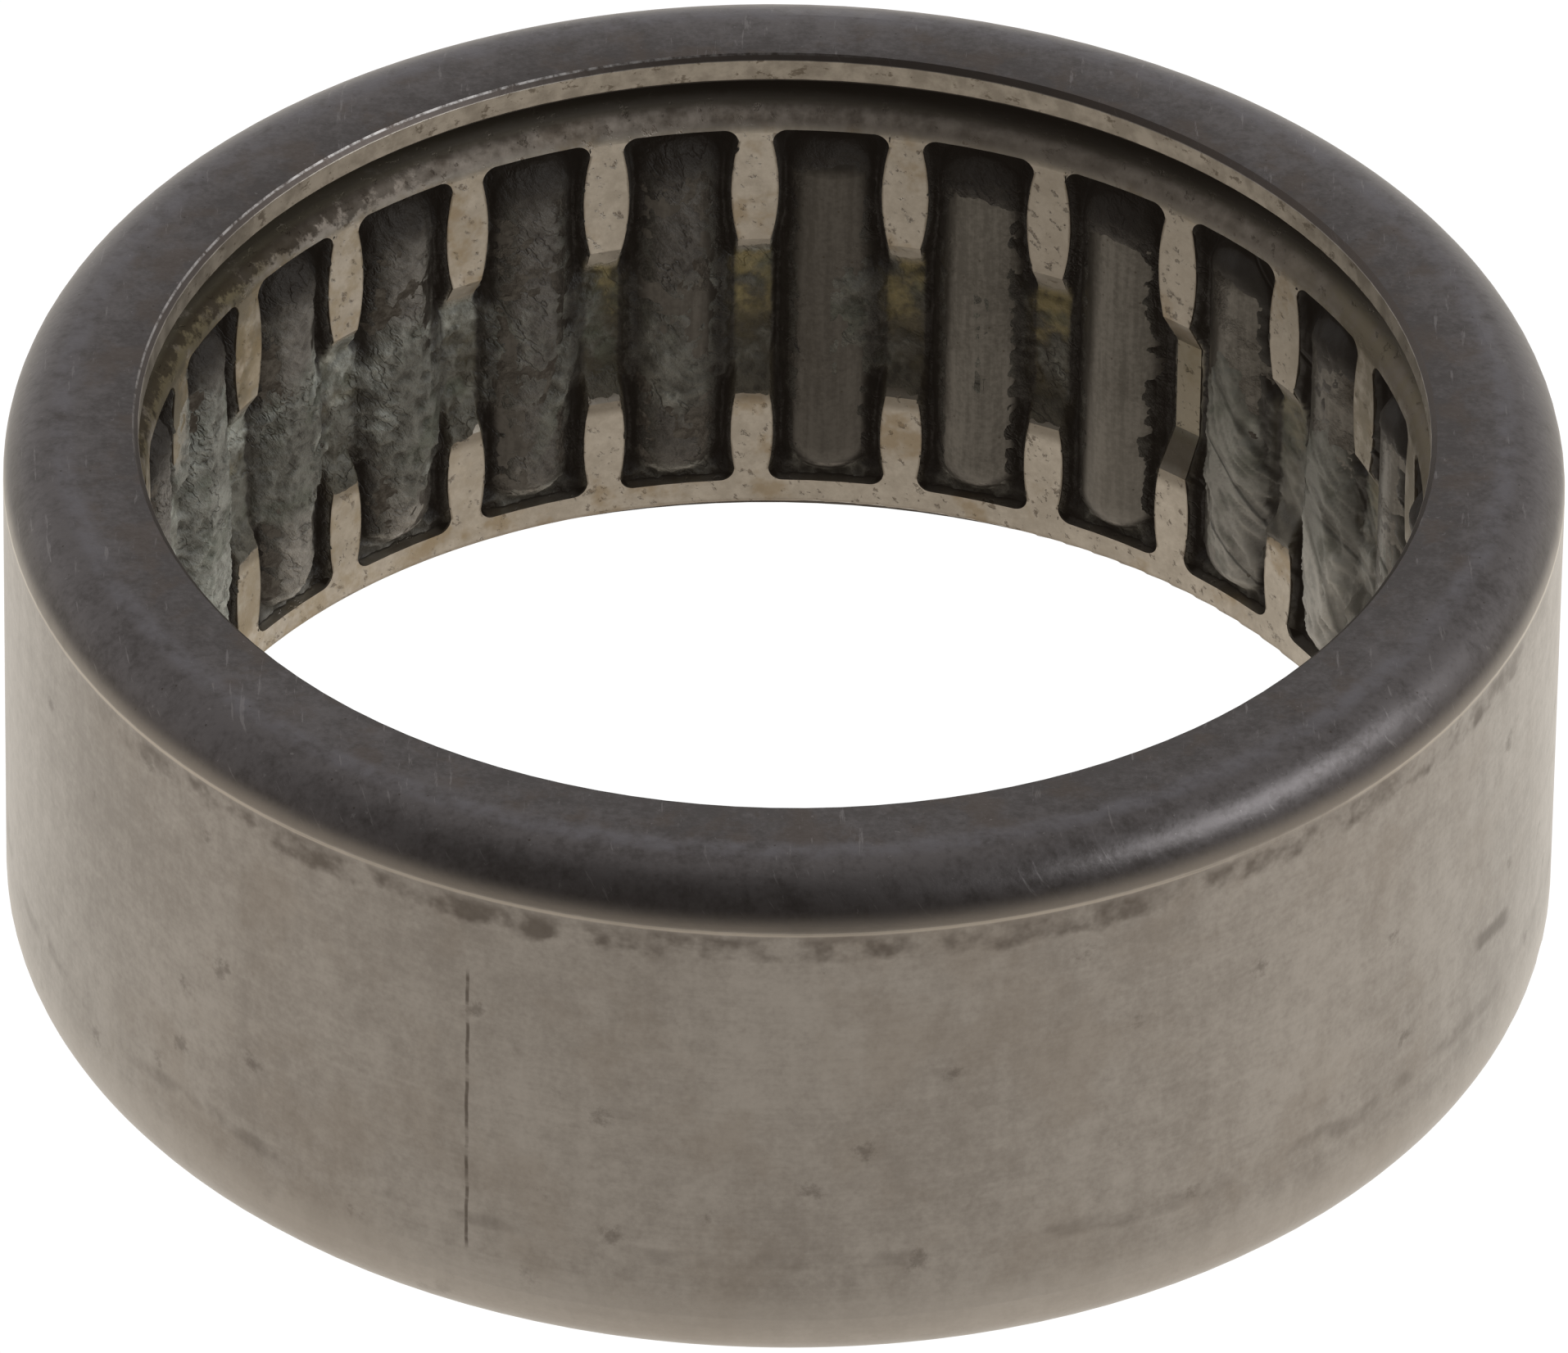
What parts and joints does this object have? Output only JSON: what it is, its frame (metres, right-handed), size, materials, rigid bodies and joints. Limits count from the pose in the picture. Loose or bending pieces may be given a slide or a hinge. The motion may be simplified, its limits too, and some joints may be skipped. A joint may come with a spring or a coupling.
{
  "type": "needle roller bearing",
  "caption": "Caged needle roller bearing: thin steel cup with in-turned lips, open at both ends, holding a stamped cage and a full ring of rollers around an open bore.",
  "frame": {"origin": "on the bearing's axis, half way between its two faces", "axes": "+Z along the axis, out of the face with the wide lip; the first roller stands 3.87 degrees from +Y towards +X"},
  "size_m": [0.052, 0.052, 0.02],
  "materials": {
    "cup_steel": "ground outside, heat-darkened upper lip and upper bend",
    "cage_steel": "stamped sheet, dull bright, fine pits",
    "roller_steel": "ground satin, greased"
  },
  "bodies": {
    "outer_cup": {"outer_cup": "cup_steel"},
    "cage": {"cage": "cage_steel"},
    "roller_01": {"roller_01": "roller_steel"},
    "roller_02": {"roller_02": "roller_steel"},
    "roller_03": {"roller_03": "roller_steel"},
    "roller_04": {"roller_04": "roller_steel"},
    "roller_05": {"roller_05": "roller_steel"},
    "roller_06": {"roller_06": "roller_steel"},
    "roller_07": {"roller_07": "roller_steel"},
    "roller_08": {"roller_08": "roller_steel"},
    "roller_09": {"roller_09": "roller_steel"},
    "roller_10": {"roller_10": "roller_steel"},
    "roller_11": {"roller_11": "roller_steel"},
    "roller_12": {"roller_12": "roller_steel"},
    "roller_13": {"roller_13": "roller_steel"},
    "roller_14": {"roller_14": "roller_steel"},
    "roller_15": {"roller_15": "roller_steel"},
    "roller_16": {"roller_16": "roller_steel"},
    "roller_17": {"roller_17": "roller_steel"},
    "roller_18": {"roller_18": "roller_steel"},
    "roller_19": {"roller_19": "roller_steel"},
    "roller_20": {"roller_20": "roller_steel"},
    "roller_21": {"roller_21": "roller_steel"},
    "roller_22": {"roller_22": "roller_steel"},
    "roller_23": {"roller_23": "roller_steel"},
    "roller_24": {"roller_24": "roller_steel"},
    "roller_25": {"roller_25": "roller_steel"},
    "roller_26": {"roller_26": "roller_steel"}
  },
  "joints": [
    {"name": "cage_spin", "type": "hinge", "parent": "outer_cup", "child": "cage", "pos_m": [0, 0, 0], "axis": [0, 0, 1], "continuous": true},
    {"name": "roller_01_spin", "type": "hinge", "parent": "cage", "child": "roller_01", "pos_m": [0.00155, 0.02285, 0], "axis": [0, 0, 1], "continuous": true},
    {"name": "roller_02_spin", "type": "hinge", "parent": "cage", "child": "roller_02", "pos_m": [0.00697, 0.02181, 0], "axis": [0, 0, 1], "continuous": true},
    {"name": "roller_03_spin", "type": "hinge", "parent": "cage", "child": "roller_03", "pos_m": [0.01199, 0.01951, 0], "axis": [0, 0, 1], "continuous": true},
    {"name": "roller_04_spin", "type": "hinge", "parent": "cage", "child": "roller_04", "pos_m": [0.01631, 0.01608, 0], "axis": [0, 0, 1], "continuous": true},
    {"name": "roller_05_spin", "type": "hinge", "parent": "cage", "child": "roller_05", "pos_m": [0.01968, 0.01171, 0], "axis": [0, 0, 1], "continuous": true},
    {"name": "roller_06_spin", "type": "hinge", "parent": "cage", "child": "roller_06", "pos_m": [0.02191, 0.00666, 0], "axis": [0, 0, 1], "continuous": true},
    {"name": "roller_07_spin", "type": "hinge", "parent": "cage", "child": "roller_07", "pos_m": [0.02287, 0.00122, 0], "axis": [0, 0, 1], "continuous": true},
    {"name": "roller_08_spin", "type": "hinge", "parent": "cage", "child": "roller_08", "pos_m": [0.02249, -0.00429, 0], "axis": [0, 0, 1], "continuous": true},
    {"name": "roller_09_spin", "type": "hinge", "parent": "cage", "child": "roller_09", "pos_m": [0.02081, -0.00955, 0], "axis": [0, 0, 1], "continuous": true},
    {"name": "roller_10_spin", "type": "hinge", "parent": "cage", "child": "roller_10", "pos_m": [0.01793, -0.01425, 0], "axis": [0, 0, 1], "continuous": true},
    {"name": "roller_11_spin", "type": "hinge", "parent": "cage", "child": "roller_11", "pos_m": [0.01399, -0.01813, 0], "axis": [0, 0, 1], "continuous": true},
    {"name": "roller_12_spin", "type": "hinge", "parent": "cage", "child": "roller_12", "pos_m": [0.00925, -0.02095, 0], "axis": [0, 0, 1], "continuous": true},
    {"name": "roller_13_spin", "type": "hinge", "parent": "cage", "child": "roller_13", "pos_m": [0.00397, -0.02255, 0], "axis": [0, 0, 1], "continuous": true},
    {"name": "roller_14_spin", "type": "hinge", "parent": "cage", "child": "roller_14", "pos_m": [-0.00155, -0.02285, 0], "axis": [0, 0, 1], "continuous": true},
    {"name": "roller_15_spin", "type": "hinge", "parent": "cage", "child": "roller_15", "pos_m": [-0.00697, -0.02181, 0], "axis": [0, 0, 1], "continuous": true},
    {"name": "roller_16_spin", "type": "hinge", "parent": "cage", "child": "roller_16", "pos_m": [-0.01199, -0.01951, 0], "axis": [0, 0, 1], "continuous": true},
    {"name": "roller_17_spin", "type": "hinge", "parent": "cage", "child": "roller_17", "pos_m": [-0.01631, -0.01608, 0], "axis": [0, 0, 1], "continuous": true},
    {"name": "roller_18_spin", "type": "hinge", "parent": "cage", "child": "roller_18", "pos_m": [-0.01968, -0.01171, 0], "axis": [0, 0, 1], "continuous": true},
    {"name": "roller_19_spin", "type": "hinge", "parent": "cage", "child": "roller_19", "pos_m": [-0.02191, -0.00666, 0], "axis": [0, 0, 1], "continuous": true},
    {"name": "roller_20_spin", "type": "hinge", "parent": "cage", "child": "roller_20", "pos_m": [-0.02287, -0.00122, 0], "axis": [0, 0, 1], "continuous": true},
    {"name": "roller_21_spin", "type": "hinge", "parent": "cage", "child": "roller_21", "pos_m": [-0.02249, 0.00429, 0], "axis": [0, 0, 1], "continuous": true},
    {"name": "roller_22_spin", "type": "hinge", "parent": "cage", "child": "roller_22", "pos_m": [-0.02081, 0.00955, 0], "axis": [0, 0, 1], "continuous": true},
    {"name": "roller_23_spin", "type": "hinge", "parent": "cage", "child": "roller_23", "pos_m": [-0.01793, 0.01425, 0], "axis": [0, 0, 1], "continuous": true},
    {"name": "roller_24_spin", "type": "hinge", "parent": "cage", "child": "roller_24", "pos_m": [-0.01399, 0.01813, 0], "axis": [0, 0, 1], "continuous": true},
    {"name": "roller_25_spin", "type": "hinge", "parent": "cage", "child": "roller_25", "pos_m": [-0.00925, 0.02095, 0], "axis": [0, 0, 1], "continuous": true},
    {"name": "roller_26_spin", "type": "hinge", "parent": "cage", "child": "roller_26", "pos_m": [-0.00397, 0.02255, 0], "axis": [0, 0, 1], "continuous": true}
  ],
  "couplings": [
    {"joint": "roller_01_spin", "follows": "cage_spin", "ratio": -13.079},
    {"joint": "roller_02_spin", "follows": "cage_spin", "ratio": -13.079},
    {"joint": "roller_03_spin", "follows": "cage_spin", "ratio": -13.079},
    {"joint": "roller_04_spin", "follows": "cage_spin", "ratio": -13.079},
    {"joint": "roller_05_spin", "follows": "cage_spin", "ratio": -13.079},
    {"joint": "roller_06_spin", "follows": "cage_spin", "ratio": -13.079},
    {"joint": "roller_07_spin", "follows": "cage_spin", "ratio": -13.079},
    {"joint": "roller_08_spin", "follows": "cage_spin", "ratio": -13.079},
    {"joint": "roller_09_spin", "follows": "cage_spin", "ratio": -13.079},
    {"joint": "roller_10_spin", "follows": "cage_spin", "ratio": -13.079},
    {"joint": "roller_11_spin", "follows": "cage_spin", "ratio": -13.079},
    {"joint": "roller_12_spin", "follows": "cage_spin", "ratio": -13.079},
    {"joint": "roller_13_spin", "follows": "cage_spin", "ratio": -13.079},
    {"joint": "roller_14_spin", "follows": "cage_spin", "ratio": -13.079},
    {"joint": "roller_15_spin", "follows": "cage_spin", "ratio": -13.079},
    {"joint": "roller_16_spin", "follows": "cage_spin", "ratio": -13.079},
    {"joint": "roller_17_spin", "follows": "cage_spin", "ratio": -13.079},
    {"joint": "roller_18_spin", "follows": "cage_spin", "ratio": -13.079},
    {"joint": "roller_19_spin", "follows": "cage_spin", "ratio": -13.079},
    {"joint": "roller_20_spin", "follows": "cage_spin", "ratio": -13.079},
    {"joint": "roller_21_spin", "follows": "cage_spin", "ratio": -13.079},
    {"joint": "roller_22_spin", "follows": "cage_spin", "ratio": -13.079},
    {"joint": "roller_23_spin", "follows": "cage_spin", "ratio": -13.079},
    {"joint": "roller_24_spin", "follows": "cage_spin", "ratio": -13.079},
    {"joint": "roller_25_spin", "follows": "cage_spin", "ratio": -13.079},
    {"joint": "roller_26_spin", "follows": "cage_spin", "ratio": -13.079}
  ]
}
